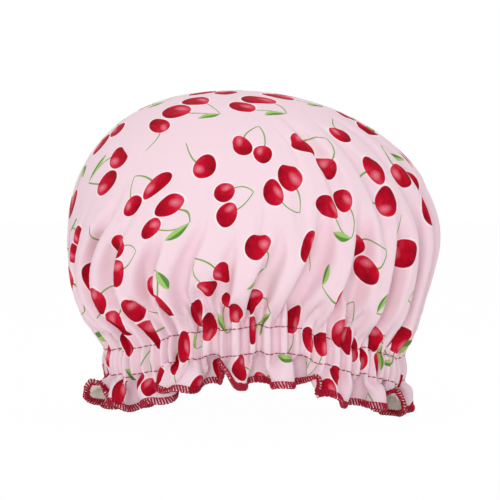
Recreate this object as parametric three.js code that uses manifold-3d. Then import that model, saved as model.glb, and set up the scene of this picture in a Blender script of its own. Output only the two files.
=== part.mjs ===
// Gathered shower cap. A printed cotton cover and a waterproof lining are cut as two equal circles and
// overlocked together round the edge. Two rows of lockstitch make a channel, and the elastic in it draws
// the cloth in, so that the crown puffs out above it and a frill hangs below it.
// Millimetres, +Z up, +X along the width and -Y to the front. The cap stands on its frill at z = 0.
import * as THREE from "three";
import { mergeVertices } from "three/addons/utils/BufferGeometryUtils.js";
import Module from "manifold-3d";

const wasm = await Module();
wasm.setup();

// Puffed crown, and the belly that it draws in to the band
const HALF_WIDTH = 133;
const HALF_DEPTH = 126;
const CROWN_RISE = 107;
const CROWN_SQUARENESS = 2.15;
const CROWN_LEAN = -16;
const BELLY_DROP = 84;

// Band that the elastic draws together, arched over the forehead and the nape
const BAND_HALF_WIDTH = 105;
const BAND_HALF_DEPTH = 97;
const BAND_ARCH = 28;
const BAND_ARCH_POWER = 3;
const CHANNEL_WIDTH = 18;

// Frill below the band, whose edge arches more sharply and so stands on the floor at both sides
const FRILL_DEPTH = 22;
const FRILL_FLARE = 3;
const EDGE_ARCH_POWER = 6;

// Gathers: each has a ridge and a valley, they deepen from the shoulder to the edge, and they crowd together
// in places round the cap
const GATHER_COUNT = 16;
const SHOULDER_FOLD = 1.6;
const WAIST_FOLD = 3;
const BELLY_FOLD = 4.5;
const ROW_FOLD = 4;
const CHANNEL_FOLD = 2;
const FRILL_FOLD = 6;
const FOLD_VARIETY = 0.35;
const VARIETY_STEP = 2.4;
const CROWDING = [
  { share: 0.1, waves: 3, start: 2.3 },
  { share: 0.05, waves: 5, start: 4 },
];

// Cloth layers
const COVER_THICKNESS = 0.4;
const LINING_THICKNESS = 0.3;
const CLEARANCE = 0.3;

// Elastic, whose two ends overlap at the back and are tacked through with thread
const ELASTIC_WIDTH = 12;
const ELASTIC_THICKNESS = 1;
const ELASTIC_OVERLAP = 15;
const TACK_SPACING = 5;

// Sewing threads and overlocked edge
const THREAD_DIAMETER = 0.5;
const OVERLOCK_WIDTH = 4.5;
const OVERLOCK_FLANGE = 0.6;
const OVERLOCK_HEM = 1.2;
const STANDING_FLAT = 0.5;

// Facets: two on each ridge and two in each valley round the cap, and rings down the crown and the belly
const AROUND = 4 * GATHER_COUNT;
const TOP_RING_DEGREES = 14;
const UPPER_RING_DEGREES = [26, 38];
const SHOULDER_RING_DEGREES = [50, 61, 72, 84];
const BELLY_RING_SHARES = [0.3, 0.55, 0.8];
const THREAD_SIDES = 5;
const HOLE_SIDES = 10;
const WELD = 1e-4;
const FULL_TURN = 2 * Math.PI;

const PLY_SHIFT = (ELASTIC_THICKNESS + CLEARANCE) / 2;
const ELASTIC_REACH = PLY_SHIFT + ELASTIC_THICKNESS / 2;
const TACK_LINE = ELASTIC_REACH + CLEARANCE + THREAD_DIAMETER / 2;
const POCKET = TACK_LINE + THREAD_DIAMETER / 2 + CLEARANCE;
const LINING_INSET = COVER_THICKNESS + CLEARANCE;
const STACK = LINING_INSET + LINING_THICKNESS;
const BAND_MIDDLE = CHANNEL_WIDTH / 2;

// Each outline gives its half width, half depth, height and sideways lean at an angle round the cap.
// Height 0 is the widest ring; the finished cap is stood on its frill at the end.

function archAt(theta, power = BAND_ARCH_POWER) {
  return BAND_ARCH * Math.abs(Math.sin(theta)) ** power;
}

function crownOutline(fromTop) {
  const angle = THREE.MathUtils.degToRad(fromTop);
  const spread = Math.sin(angle) ** (2 / CROWN_SQUARENESS);
  const rise = Math.cos(angle) ** (2 / CROWN_SQUARENESS);
  return () => ({
    width: HALF_WIDTH * spread,
    depth: HALF_DEPTH * spread,
    z: CROWN_RISE * rise,
    lean: CROWN_LEAN * rise ** 2,
  });
}

function bellyOutline(share) {
  const drawnIn = share ** 2;
  return (theta) => ({
    width: THREE.MathUtils.lerp(HALF_WIDTH, BAND_HALF_WIDTH, drawnIn),
    depth: THREE.MathUtils.lerp(HALF_DEPTH, BAND_HALF_DEPTH, drawnIn),
    z: -share * (BELLY_DROP - archAt(theta)),
    lean: 0,
  });
}

function bandOutline(belowRow) {
  return (theta) => ({
    width: BAND_HALF_WIDTH,
    depth: BAND_HALF_DEPTH,
    z: archAt(theta) - BELLY_DROP - belowRow,
    lean: 0,
  });
}

function frillOutline(share) {
  return (theta) => ({
    width: BAND_HALF_WIDTH + FRILL_FLARE * share,
    depth: BAND_HALF_DEPTH + FRILL_FLARE * share,
    z:
      THREE.MathUtils.lerp(archAt(theta), archAt(theta, EDGE_ARCH_POWER), share) -
      (BELLY_DROP + CHANNEL_WIDTH + FRILL_DEPTH * share),
    lean: 0,
  });
}

// A point at an angle round an outline, moved outwards by a distance.
function ringPoint(outline, theta, outward) {
  const { width, depth, z, lean } = outline(theta);
  const across = new THREE.Vector2(Math.cos(theta) / width, Math.sin(theta) / depth).normalize();
  return new THREE.Vector3(
    width * Math.cos(theta) + lean + across.x * outward,
    depth * Math.sin(theta) + across.y * outward,
    z,
  );
}

function facetTurn(index, count) {
  return ((index + 0.5) * FULL_TURN) / count;
}

// Where a facet corner lies round the cap, once the gathers have crowded together.
function crowded(turn) {
  const shifts = CROWDING.map(({ share, waves, start }) => share * Math.sin(waves * turn + start));
  return shifts.reduce((angle, shift) => angle + shift, turn);
}

function crowdingRate(turn) {
  const rates = CROWDING.map(({ share, waves, start }) => share * waves * Math.cos(waves * turn + start));
  return rates.reduce((sum, rate) => sum + rate, 1);
}

// Facet corners go round in fours: two on a ridge, whose middle is at a whole gather, and two in a valley.
function gatherWave(index) {
  const corner = (index + 1) % AROUND;
  const gather = Math.floor(corner / 4);
  const size = 1 + FOLD_VARIETY * Math.sin(VARIETY_STEP * gather);
  return corner % 4 < 2 ? size : -size;
}

function ring(outline, count, fold = 0, shift = 0) {
  return Array.from({ length: count }, (_, index) => {
    const wave = fold ? gatherWave(index) * fold : 0;
    return ringPoint(outline, crowded(facetTurn(index, count)), shift + wave);
  });
}

// Rings of the cloth's skin from the crown down to the edge. side is 1 for the cover, which passes outside
// the elastic, and -1 for the lining, which passes inside it.
const CHANNEL_END = (CHANNEL_WIDTH - ELASTIC_WIDTH) / 2 - CLEARANCE;
const OVERLOCK_SHARE = 1 - OVERLOCK_WIDTH / FRILL_DEPTH;

function skinRings(side) {
  const bulge = side > 0 ? POCKET + COVER_THICKNESS : LINING_INSET - POCKET;
  const overlockFold = THREE.MathUtils.lerp(ROW_FOLD, FRILL_FOLD, OVERLOCK_SHARE);
  const [shoulder, waist] = [SHOULDER_RING_DEGREES[0], SHOULDER_RING_DEGREES.at(-1)];
  const crownFold = (fromTop) => THREE.MathUtils.mapLinear(fromTop, shoulder, waist, SHOULDER_FOLD, WAIST_FOLD);
  return [
    ["top", ring(crownOutline(TOP_RING_DEGREES), AROUND / 4)],
    ...UPPER_RING_DEGREES.map((fromTop) => ["upperCrown", ring(crownOutline(fromTop), AROUND / 2)]),
    ...SHOULDER_RING_DEGREES.map((fromTop) => [
      "shoulder",
      ring(crownOutline(fromTop), AROUND, crownFold(fromTop)),
    ]),
    ...BELLY_RING_SHARES.map((share) => ["belly", ring(bellyOutline(share), AROUND, BELLY_FOLD)]),
    ["upperRow", ring(bellyOutline(1), AROUND, ROW_FOLD)],
    ["channelTop", ring(bandOutline(CHANNEL_END), AROUND, CHANNEL_FOLD, bulge)],
    ["channelFoot", ring(bandOutline(CHANNEL_WIDTH - CHANNEL_END), AROUND, CHANNEL_FOLD, bulge)],
    ["lowerRow", ring(frillOutline(0), AROUND, ROW_FOLD)],
    ["overlockTop", ring(frillOutline(OVERLOCK_SHARE), AROUND, overlockFold)],
    ["edge", ring(frillOutline(1), AROUND, FRILL_FOLD)],
  ];
}

// Triangles between two rings, where the lower one has as many points or twice as many.
function stripFaces(upper, upperCount, lower, lowerCount) {
  const faces = [];
  for (let i = 0; i < upperCount; i += 1) {
    const a = upper + i;
    const b = upper + ((i + 1) % upperCount);
    if (upperCount === lowerCount) {
      const c = lower + i;
      const d = lower + ((i + 1) % lowerCount);
      faces.push([a, c, b], [b, c, d]);
    } else {
      const c = lower + 2 * i;
      const d = lower + 2 * i + 1;
      const e = lower + ((2 * i + 2) % lowerCount);
      faces.push([a, c, d], [a, d, b], [b, d, e]);
    }
  }
  return faces;
}

function makeSkin(side) {
  const points = [new THREE.Vector3(CROWN_LEAN, 0, CROWN_RISE)];
  const faces = [];
  const starts = {};
  let above = null;
  for (const [name, row] of skinRings(side)) {
    const start = points.length;
    points.push(...row);
    starts[name] = start;
    if (above) {
      faces.push(...stripFaces(above.start, above.count, start, row.length));
    } else {
      faces.push(...row.map((_, i) => [0, start + i, start + ((i + 1) % row.length)]));
    }
    above = { start, count: row.length };
  }
  return { points, faces, starts };
}

// Unit normals at the points of a skin, lengthened at folds so that an offset layer keeps its distance.
function mitredNormals({ points, faces }) {
  const flat = faces.map(([a, b, c]) => {
    const across = points[b].clone().sub(points[a]);
    return across.cross(points[c].clone().sub(points[a])).normalize();
  });
  const around = points.map(() => []);
  faces.forEach((face, index) => face.forEach((point) => around[point].push(flat[index])));
  return around.map((normals) => {
    const mean = normals.reduce((sum, n) => sum.add(n), new THREE.Vector3()).normalize();
    const share = normals.reduce((sum, n) => sum + n.dot(mean), 0) / normals.length;
    return mean.divideScalar(share);
  });
}

// The skin moved inwards by a distance, or outwards by a negative one.
function insetPoints(skin, distance) {
  const normals = mitredNormals(skin);
  return skin.points.map((point, i) => point.clone().addScaledVector(normals[i], -distance));
}

function rowOf(skin, points, name) {
  const start = skin.starts[name];
  return points.slice(start, start + AROUND);
}

function geometryOf(points, faces) {
  const made = new THREE.BufferGeometry();
  made.setAttribute("position", new THREE.Float32BufferAttribute(points.flatMap((p) => p.toArray()), 3));
  made.setIndex(faces.flat());
  return made;
}

// A layer of cloth between two insets of a skin, closed round its edge.
function clothLayer(skin, outerInset, innerInset) {
  const count = skin.points.length;
  const points = [...insetPoints(skin, outerInset), ...insetPoints(skin, innerInset)];
  const inner = skin.faces.map(([a, b, c]) => [a + count, c + count, b + count]);
  const { edge } = skin.starts;
  const rim = stripFaces(edge, AROUND, edge + count, AROUND);
  return geometryOf(points, [...skin.faces, ...inner, ...rim]);
}

// A solid through a row of sections with equal numbers of points, as a loop or with flat ends. Its quads are
// split from each section's next point to the following section, and those of the turned sides the other way.
function loft(sections, isLoop, turnedSides = []) {
  const size = sections[0].length;
  const faces = [];
  const last = isLoop ? sections.length : sections.length - 1;
  for (let s = 0; s < last; s += 1) {
    const here = s * size;
    const there = ((s + 1) % sections.length) * size;
    for (let i = 0; i < size; i += 1) {
      const j = (i + 1) % size;
      if (turnedSides.includes(i)) {
        faces.push([here + i, there + i, there + j], [here + i, there + j, here + j]);
      } else {
        faces.push([here + i, there + i, here + j], [here + j, there + i, there + j]);
      }
    }
  }
  if (!isLoop) {
    const end = (sections.length - 1) * size;
    for (let i = 1; i < size - 1; i += 1) {
      faces.push([0, i, i + 1], [end, end + i + 1, end + i]);
    }
  }
  return geometryOf(sections.flat(), faces);
}

// Booleans
function toSolid(geometry) {
  const bare = new THREE.BufferGeometry();
  bare.setAttribute("position", geometry.getAttribute("position"));
  bare.setIndex(geometry.getIndex());
  const merged = mergeVertices(bare, WELD);
  const vertProperties = merged.getAttribute("position").array;
  const triVerts = new Uint32Array(merged.getIndex().array);
  return new wasm.Manifold(new wasm.Mesh({ numProp: 3, vertProperties, triVerts }));
}

function fromSolid(solid) {
  const { vertProperties, triVerts } = solid.getMesh();
  const made = new THREE.BufferGeometry();
  made.setAttribute("position", new THREE.BufferAttribute(new Float32Array(vertProperties), 3));
  made.setIndex(new THREE.BufferAttribute(new Uint32Array(triVerts), 1));
  return made;
}

const coverSkin = makeSkin(1);
const liningSkin = makeSkin(-1);

function makeCover() {
  return clothLayer(coverSkin, 0, COVER_THICKNESS);
}

function makeLining() {
  return clothLayer(liningSkin, LINING_INSET, STACK);
}

// Elastic strip: it winds round the band once and a little more, drifting outwards by one ply on the way,
// so that its last stretch lies on the outside of its first. The ends meet on the ridge nearest the back.
const JOIN_TURN = (Math.round(GATHER_COUNT / 4) * FULL_TURN) / GATHER_COUNT;
const HALF_OVERLAP = ELASTIC_OVERLAP / 2 / BAND_HALF_WIDTH / crowdingRate(JOIN_TURN);

function elasticTurns() {
  const first = JOIN_TURN - HALF_OVERLAP;
  const last = JOIN_TURN + FULL_TURN + HALF_OVERLAP;
  const corners = Array.from({ length: 2 * AROUND }, (_, i) => facetTurn(i, AROUND));
  return [first, ...corners.filter((turn) => turn > first && turn < last), last];
}

// The drift is spent away from the overlap, where both plies lie flat on each other.
function plyShift(turn) {
  const kept = HALF_OVERLAP + FULL_TURN / AROUND;
  const share = (turn - JOIN_TURN - kept) / (FULL_TURN - 2 * kept);
  return THREE.MathUtils.lerp(-PLY_SHIFT, PLY_SHIFT, THREE.MathUtils.clamp(share, 0, 1));
}

// A point in the channel, on the flat between two facet corners of the gathered band.
function bandPoint(turn, shift, belowRow) {
  const place = (turn * AROUND) / FULL_TURN - 0.5;
  const before = Math.floor(place);
  const corner = (index) => {
    const outward = shift + CHANNEL_FOLD * gatherWave(index);
    return ringPoint(bandOutline(belowRow), crowded(facetTurn(index, AROUND)), outward);
  };
  return corner(before).lerp(corner(before + 1), place - before);
}

function makeElastic() {
  const sections = elasticTurns().map((turn) => {
    const shift = plyShift(turn);
    const corner = (outward, down) =>
      bandPoint(turn, shift + (outward * ELASTIC_THICKNESS) / 2, BAND_MIDDLE + (down * ELASTIC_WIDTH) / 2);
    return [corner(1, -1), corner(-1, -1), corner(-1, 1), corner(1, 1)];
  });
  const strip = toSolid(loft(sections, false));
  return fromSolid(tackPlaces().reduce((solid, place) => solid.subtract(tackHole(place)), strip));
}

// Tack: one closed loop of thread through four holes in the two overlapping ends.
function joinFrame() {
  const reach = FULL_TURN / AROUND / 4;
  const ahead = bandPoint(JOIN_TURN + reach, 0, BAND_MIDDLE);
  const behind = bandPoint(JOIN_TURN - reach, 0, BAND_MIDDLE);
  const along = ahead.sub(behind).normalize();
  const outward = new THREE.Vector3(along.y, -along.x, 0).normalize();
  return { middle: bandPoint(JOIN_TURN, 0, BAND_MIDDLE), along, outward, up: outward.clone().cross(along) };
}

function tackPlaces() {
  const { middle, along, up } = joinFrame();
  const half = TACK_SPACING / 2;
  return [
    [-half, half],
    [half, half],
    [half, -half],
    [-half, -half],
  ].map(([x, z]) => middle.clone().addScaledVector(along, x).addScaledVector(up, z));
}

function rod(from, to, radius, sides) {
  const along = to.clone().sub(from);
  const length = along.length();
  const turn = new THREE.Quaternion().setFromUnitVectors(new THREE.Vector3(0, 1, 0), along.normalize());
  const made = new THREE.CylinderGeometry(radius, radius, length, sides);
  made.applyQuaternion(turn);
  const middle = from.clone().add(to).divideScalar(2);
  return toSolid(made.translate(middle.x, middle.y, middle.z));
}

function tackEnds(place) {
  const { outward } = joinFrame();
  return [TACK_LINE, -TACK_LINE].map((reach) => place.clone().addScaledVector(outward, reach));
}

function tackHole(place) {
  const [outside, inside] = tackEnds(place);
  return rod(inside, outside, THREAD_DIAMETER / 2 + CLEARANCE, HOLE_SIDES);
}

function makeTack() {
  const radius = THREAD_DIAMETER / 2;
  const corners = tackPlaces().flatMap((place, i) => {
    const ends = tackEnds(place);
    return i % 2 ? ends.reverse() : ends;
  });
  const pieces = corners.flatMap((corner, i) => {
    const next = corners[(i + 1) % corners.length];
    const bend = new THREE.IcosahedronGeometry(radius, 1).translate(corner.x, corner.y, corner.z);
    return [rod(corner, next, radius, THREAD_SIDES), toSolid(bend)];
  });
  return fromSolid(pieces.reduce((all, piece) => all.add(piece)));
}

// A row of lockstitch: the needle thread lies on the cover and the bobbin thread on the lining.
function makeThread(skin, inset, rowName) {
  const radius = THREAD_DIAMETER / 2;
  const line = rowOf(skin, insetPoints(skin, inset), rowName);
  const sections = line.map((point, i) => {
    const ahead = line[(i + 1) % AROUND].clone().sub(line[(i + AROUND - 1) % AROUND]);
    const side = new THREE.Vector3(ahead.y, -ahead.x, 0).normalize();
    return Array.from({ length: THREAD_SIDES }, (_, k) => {
      const turn = (k * FULL_TURN) / THREAD_SIDES;
      const place = point.clone().addScaledVector(side, radius * Math.cos(turn));
      return place.setZ(place.z + radius * Math.sin(turn));
    });
  });
  return loft(sections, true);
}

const NEEDLE_INSET = -(CLEARANCE + THREAD_DIAMETER / 2);
const BOBBIN_INSET = STACK + CLEARANCE + THREAD_DIAMETER / 2;

// Overlocked edge: looped thread that wraps both layers, cut flat where the cap stands on it.
function makeOverlock() {
  const near = CLEARANCE;
  const far = CLEARANCE + OVERLOCK_FLANGE;
  const hem = CLEARANCE + OVERLOCK_HEM;
  const lines = {
    outerFar: insetPoints(coverSkin, -far),
    outerNear: insetPoints(coverSkin, -near),
    innerNear: insetPoints(coverSkin, STACK + near),
    innerFar: insetPoints(coverSkin, STACK + far),
  };
  const topOf = (line, i) => rowOf(coverSkin, lines[line], "overlockTop")[i];
  const footOf = (line, i) => rowOf(coverSkin, lines[line], "edge")[i];
  const sections = Array.from({ length: AROUND }, (_, i) => {
    const lowered = (line, by) => {
      const foot = footOf(line, i);
      const down = foot.clone().sub(topOf(line, i)).normalize();
      return foot.clone().addScaledVector(down, by);
    };
    return [
      topOf("outerFar", i),
      topOf("outerNear", i),
      lowered("outerNear", near),
      lowered("innerNear", near),
      topOf("innerNear", i),
      topOf("innerFar", i),
      lowered("innerFar", hem),
      lowered("outerFar", hem),
    ];
  });
  const risingSides = [3, 7];
  const whole = loft(sections, true, risingSides);
  whole.computeBoundingBox();
  const { min, max } = whole.boundingBox;
  const slab = new THREE.BoxGeometry(2 * max.x - 2 * min.x, 2 * max.y - 2 * min.y, 2 * STANDING_FLAT);
  slab.translate((min.x + max.x) / 2, (min.y + max.y) / 2, min.z);
  return fromSolid(toSolid(whole).subtract(toSolid(slab)));
}

const cotton = new THREE.MeshStandardMaterial({ color: "#efd3dc", roughness: 0.85, metalness: 0 });
const film = new THREE.MeshStandardMaterial({ color: "#ece3da", roughness: 0.45, metalness: 0 });
const braid = new THREE.MeshStandardMaterial({ color: "#f1efea", roughness: 0.8, metalness: 0 });
const sewingThread = new THREE.MeshStandardMaterial({ color: "#7d1430", roughness: 0.6, metalness: 0 });
const looperThread = new THREE.MeshStandardMaterial({ color: "#a81231", roughness: 0.6, metalness: 0 });

const cap = new THREE.Group();

function addPiece(name, geometry, material) {
  const mesh = new THREE.Mesh(geometry, material);
  mesh.name = name;
  cap.add(mesh);
  return mesh;
}

addPiece("outer_cover", makeCover(), cotton);
addPiece("waterproof_lining", makeLining(), film);
addPiece("elastic_band", makeElastic(), braid);
addPiece("elastic_join_tack", makeTack(), sewingThread);
addPiece("upper_needle_thread", makeThread(coverSkin, NEEDLE_INSET, "upperRow"), sewingThread);
addPiece("upper_bobbin_thread", makeThread(liningSkin, BOBBIN_INSET, "upperRow"), sewingThread);
addPiece("lower_needle_thread", makeThread(coverSkin, NEEDLE_INSET, "lowerRow"), sewingThread);
addPiece("lower_bobbin_thread", makeThread(liningSkin, BOBBIN_INSET, "lowerRow"), sewingThread);
addPiece("overlock_edge", makeOverlock(), looperThread);

// Stand the cap on the floor, with the origin under the middle of its box.
const box = new THREE.Box3().setFromObject(cap);
const middle = box.getCenter(new THREE.Vector3());
cap.children.forEach((mesh) => mesh.position.set(-middle.x, -middle.y, -box.min.z));

export default cap;
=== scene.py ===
import math

import bpy
import numpy as np
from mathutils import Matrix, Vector
from mathutils.bvhtree import BVHTree


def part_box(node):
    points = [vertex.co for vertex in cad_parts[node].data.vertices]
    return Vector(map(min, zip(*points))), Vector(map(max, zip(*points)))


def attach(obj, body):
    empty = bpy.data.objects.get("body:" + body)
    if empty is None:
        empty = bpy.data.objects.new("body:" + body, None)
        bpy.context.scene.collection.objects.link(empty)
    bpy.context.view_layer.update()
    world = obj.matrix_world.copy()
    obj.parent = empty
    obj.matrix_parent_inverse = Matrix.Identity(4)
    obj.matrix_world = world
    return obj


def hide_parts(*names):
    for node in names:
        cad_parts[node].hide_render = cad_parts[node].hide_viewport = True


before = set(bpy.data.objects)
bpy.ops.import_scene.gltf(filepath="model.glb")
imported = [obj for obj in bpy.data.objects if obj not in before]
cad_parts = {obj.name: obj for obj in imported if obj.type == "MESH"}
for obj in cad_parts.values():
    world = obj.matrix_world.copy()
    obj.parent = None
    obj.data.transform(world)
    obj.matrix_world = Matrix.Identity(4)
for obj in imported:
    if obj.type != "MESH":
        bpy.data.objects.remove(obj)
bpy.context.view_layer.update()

# Printed cover. One circle of light cotton, printed with cherries, is puffed up over the hair,
# gathered into a channel by two rows of stitches, and left loose below them as a frill.
# It is settled here as real cloth: held at the crown and at both stitch rows, and slack between.
TAU = 2 * math.pi
CROWN_HALF_WIDTH = 0.133
CROWN_HALF_DEPTH = 0.126
CROWN_RISE = 0.107
CROWN_SQUARENESS = 2.15
CROWN_LEAN = -0.016
BELLY_DROP = 0.084
RIGHT_TAPER = 0.006
BAND_HALF_WIDTH = 0.105
BAND_HALF_DEPTH = 0.097
BAND_ARCH = 0.028
BAND_ARCH_POWER = 3
ROW_WAVER = 0.0011
ROW_WAVES = ((1.0, 9, 1), (0.7, 23, 0), (0.5, 41, 2))
LEFT_LIFT = 0.005
CROWN_TO_BAND = 0.262
CHANNEL_DEPTH = 0.018
CHANNEL_BULGE = 0.0015
FRILL_DEPTH = 0.025
CUT_RADIUS = CROWN_TO_BAND + CHANNEL_DEPTH + FRILL_DEPTH
CLOTH_THICKNESS = 0.0004
CLOTH_SEED = 5
PLEATS, PLEAT_DEPTH, PLEAT_SPREAD, PLEAT_TILTS = 72, 0.0038, 0.35, (-0.4, 0.4)
PLEATS_FROM = 0.20
FOLDS, FOLD_DEPTH, FOLD_TILT = 16, 0.010, 0.5
FOLD_VARIETY, VARIETY_STEP = 0.5, 2.4
FOLDS_BEGIN, FOLDS_FULL, FOLDS_FADE = 0.12, 0.20, 0.225
CROWDING = ((0.10, 3, 2.3), (0.05, 5, 4.0))
RUFFLES, RUFFLE_DEPTH, RUFFLE_SPREAD, RUFFLE_TILTS = 26, 0.0090, 0.55, (-0.7, 0.1)
WAVE_HEIGHTS = (0.65, 1.3)
FLIP_REACH, FLIP_WAVES, FLIP_LEVELS = 0.017, ((1, 7, 0.8), (1, 11, 0)), (0.5, 1.2)
FRILL_SWAY, SWAY_WAVES = 0.035, ((1, 5, 1), (1, 13, 0))
FRILL_FLARE, FRONT_FLARE, LEFT_FLARE, RIGHT_FLARE = 0.002, 0.008, 0.010, -0.003
LEAST_FALL = 0.25
POLE_HOLE, POLE_RISE = 0.012, 0.0004
POLE_RINGS = (0.62, 0.34)
STEADY_CROWN = 0.024
LENGTH_SLACK = 1.03
# How much longer a ring of the cloth is than the filled cap under it, by its distance on the cut circle.
FULLNESS_AT = (0.12, 0.15, 0.185, 0.225, 0.262, 0.280, 0.305)
FULLNESS = (1.0, 1.04, 1.17, 1.48, 2.1, 2.1, 2.05)
# How far the cloth may sink into the filled cap or stand off it, as a share of its size.
INNER_CROWN, INNER_BELLY, OUTER_CROWN, OUTER_BELLY, OUTER_BAND = 0.98, 0.91, 1.0, 1.015, 1.05
CROWN_FROM, CROWN_FULL = 0.15, 0.75
CROWN_PUFF = 0.00010
BEND_PUSHES = (0.5, 0.2, 0.08, 0.03)
CLOTH_WEIGHT, FRILL_WEIGHT = 0.00003, 0.00010
SLACK_ABOVE_BAND, SLACK_FADE, SLACK_CURVE = 0.024, 0.07, 1.3
LEAST_STIFFNESS, FRILL_STIFFNESS, FRILL_FIRMNESS = 0.08, 0.3, 0.2
GROUND = 0.0016
LEAST_TURN = 0.2
CREASE, CREASE_SPAN = 0.6, 8
CREASES_FROM, CREASES_FULL, CREASES_END = 0.15, 0.21, 0.012
# The ruffles that turn outwards: angle, half width and turn of each.
FLIPS = ((-0.48, 0.12, 2.2), (-1.18, 0.10, 2.1), (-1.76, 0.12, 2.3), (-2.83, 0.12, 2.2))
FLIP_START, FLIP_END = 0.15, 0.7
widest_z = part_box("outer_cover")[1].z - CROWN_RISE
band_z = widest_z - BELLY_DROP


def ripple(theta, waves):
    """A sum of waves round the cap: the share, number and start of each."""
    return sum(share * np.sin(number * theta + start) for share, number, start in waves)


def arch(theta):
    """How far the band is drawn up over the forehead and the nape, with the waver of a gathered row."""
    lift = LEFT_LIFT * np.maximum(-np.cos(theta), 0) ** 2
    return BAND_ARCH * np.abs(np.sin(theta)) ** BAND_ARCH_POWER + lift + ROW_WAVER * ripple(theta, ROW_WAVES)


def filled_size(theta, down):
    """The filled cap's half width and depth, from its widest line (0) down to the band (1)."""
    taper = RIGHT_TAPER * np.sin(math.pi * down) * np.maximum(np.cos(theta), 0) ** 2
    wide = CROWN_HALF_WIDTH + (BAND_HALF_WIDTH - CROWN_HALF_WIDTH) * down ** 2 - taper
    return wide, CROWN_HALF_DEPTH + (BAND_HALF_DEPTH - CROWN_HALF_DEPTH) * down ** 2


def band_point(theta, out, z):
    """A point on the gathered band's oval, moved outwards."""
    across, deep = np.cos(theta) / BAND_HALF_WIDTH, np.sin(theta) / BAND_HALF_DEPTH
    size = np.hypot(across, deep)
    return np.stack([BAND_HALF_WIDTH * np.cos(theta) + out * across / size,
                     BAND_HALF_DEPTH * np.sin(theta) + out * deep / size, z], -1)


def uneven_waves(count, spread, tilts, seed):
    """Random widths, heights and leanings for folds round the cap, as a function of the angle."""
    draw = np.random.default_rng(seed)
    width = draw.uniform(1 - spread, 1 + spread, count)
    width *= TAU / width.sum()
    start = np.concatenate([[0], np.cumsum(width)])
    height = draw.uniform(*WAVE_HEIGHTS, count)
    tilt = draw.uniform(*tilts, count)

    def wave(angle):
        fold = np.clip(np.searchsorted(start, angle, side="right") - 1, 0, count - 1)
        turn = TAU * (angle - start[fold]) / width[fold]
        return height[fold] * np.sin(turn), tilt[fold] * width[fold] * 0.25 * np.sin(2 * turn)
    return wave


pleat_angle = np.linspace(0, TAU, 20000, endpoint=False)
pleat_wave, pleat_tilt = uneven_waves(PLEATS, PLEAT_SPREAD, PLEAT_TILTS, CLOTH_SEED)(pleat_angle)
pleat_row = band_point(pleat_angle + pleat_tilt, PLEAT_DEPTH * pleat_wave,
                       band_z + arch(pleat_angle + pleat_tilt))
pleat_run = np.cumsum(np.linalg.norm(np.roll(pleat_row, -1, 0) - pleat_row, axis=1))


def stitched_row(count):
    """Points spaced evenly along the pleated upper row: their angle, their pleat and their place."""
    at = np.interp(np.arange(count) / count * pleat_run[-1], pleat_run, np.arange(1, len(pleat_run) + 1))
    at = np.round(at).astype(int) % len(pleat_angle)
    return pleat_angle[at], pleat_wave[at], pleat_row[at]


def crown_profile(theta):
    """The filled cap's outline from the pole down to the band, at one angle, and its length."""
    turn = np.linspace(0, math.pi / 2, 120)
    spread, rise = np.sin(turn) ** (2 / CROWN_SQUARENESS), np.cos(turn) ** (2 / CROWN_SQUARENESS)
    down = np.linspace(0, 1, 50)[1:]
    low_wide, low_deep = filled_size(theta, down)
    wide = np.concatenate([CROWN_HALF_WIDTH * spread, low_wide])
    deep = np.concatenate([CROWN_HALF_DEPTH * spread, low_deep])
    z = np.concatenate([CROWN_RISE * rise, -down * (BELLY_DROP - arch(theta))])
    lean = np.concatenate([CROWN_LEAN * rise ** 2, 0 * down])
    reach = np.hypot(wide * math.cos(theta), deep * math.sin(theta))
    run = np.concatenate([[0], np.cumsum(np.hypot(np.diff(reach), np.diff(z)))])
    return wide, deep, z, lean, run


def cut_rings(crown, channel, frill):
    """Distances from the middle of the cut circle at which the cloth has its rings of points."""
    band_end = CROWN_TO_BAND + CHANNEL_DEPTH
    rings = np.concatenate([np.linspace(POLE_HOLE, CROWN_TO_BAND, crown + 1),
                            np.linspace(CROWN_TO_BAND, band_end, channel + 1)[1:],
                            np.linspace(band_end, CUT_RADIUS, frill + 1)[1:]])
    return rings, crown, crown + channel


def smooth_step(value, low, high):
    """0 below low, 1 above high, and an even curve between."""
    part = np.clip((value - low) / (high - low), 0, 1)
    return part * part * (3 - 2 * part)


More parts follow.
